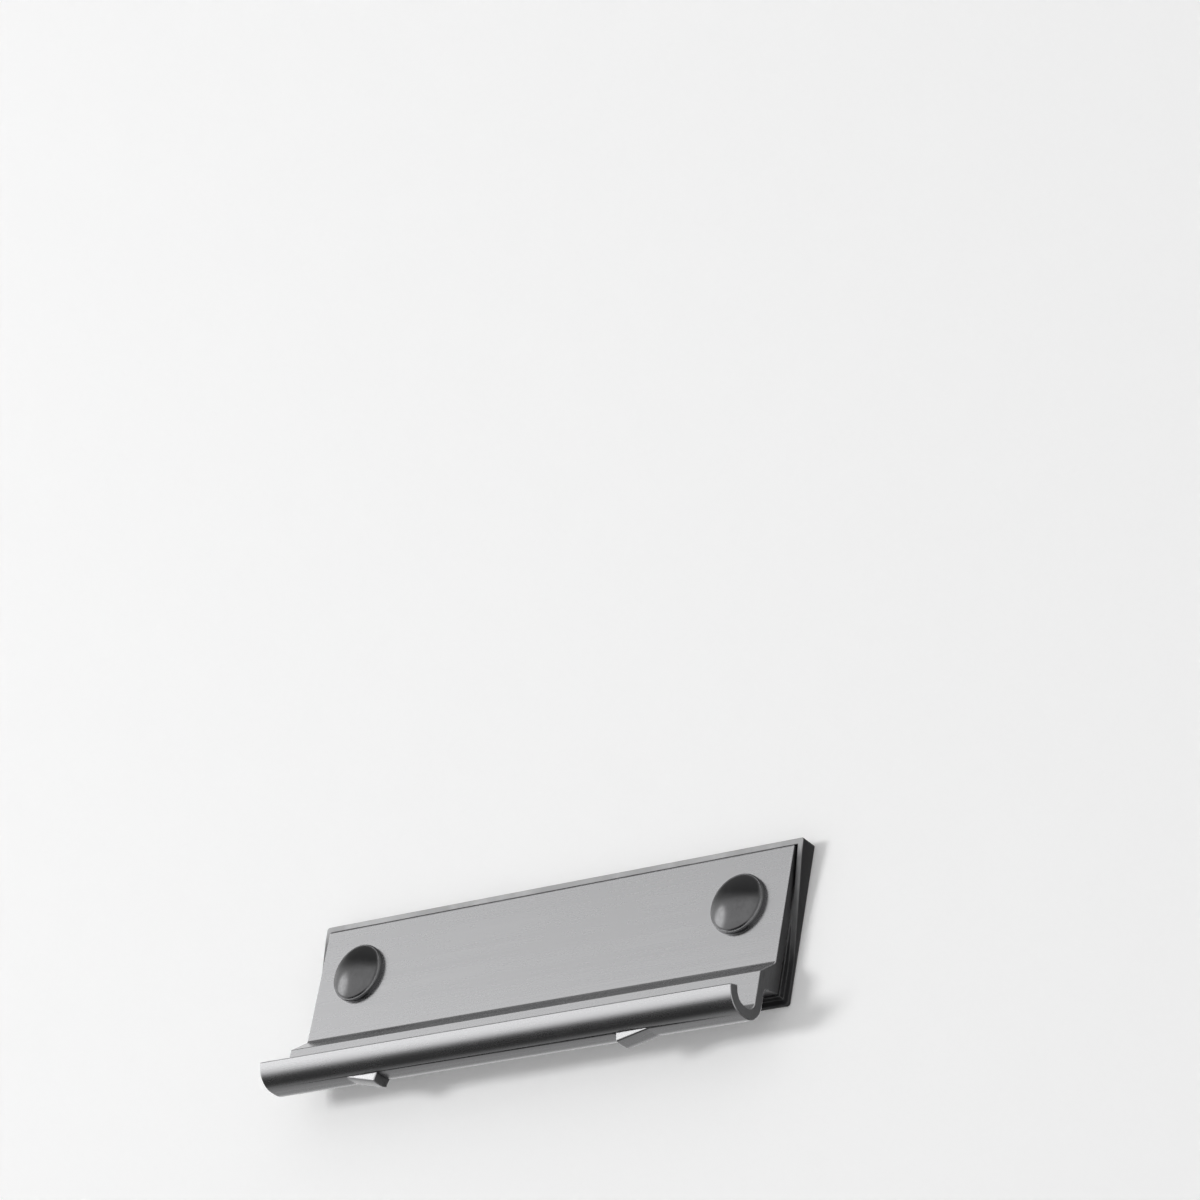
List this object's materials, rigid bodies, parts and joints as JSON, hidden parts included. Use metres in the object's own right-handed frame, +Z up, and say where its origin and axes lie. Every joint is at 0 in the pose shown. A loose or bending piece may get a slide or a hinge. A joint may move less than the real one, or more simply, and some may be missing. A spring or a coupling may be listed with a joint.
{
  "type": "artificial rain gutter bracket",
  "caption": "Short bolt-on gutter channel on a flat plate with a rubber gasket, clamped to a roof's side wall so that a gutter-mount roof rack can grip it.",
  "frame": {"origin": "on the gasket's back face, which lies on the roof's wall, midway between the two bolts' axes", "axes": "+X along the gutter, +Y into the roof's wall, so the channel stands out towards -Y, +Z up"},
  "size_m": [0.1614, 0.0354, 0.0554],
  "materials": {
    "bracket_metal": "satin extruded aluminium with fine lines along its length",
    "gasket_rubber": "satin black moulded rubber",
    "bolt_metal": "dark plated steel",
    "washer_metal": "zinc-plated steel",
    "nut_metal": "zinc-plated steel",
    "insert_nylon": "natural nylon"
  },
  "bodies": {
    "root": {"gutter_bracket": "bracket_metal", "rubber_gasket": "gasket_rubber", "carriage_bolts": "bolt_metal", "washers": "washer_metal", "lock_nuts": "nut_metal", "nut_inserts": "insert_nylon"}
  },
  "joints": []
}
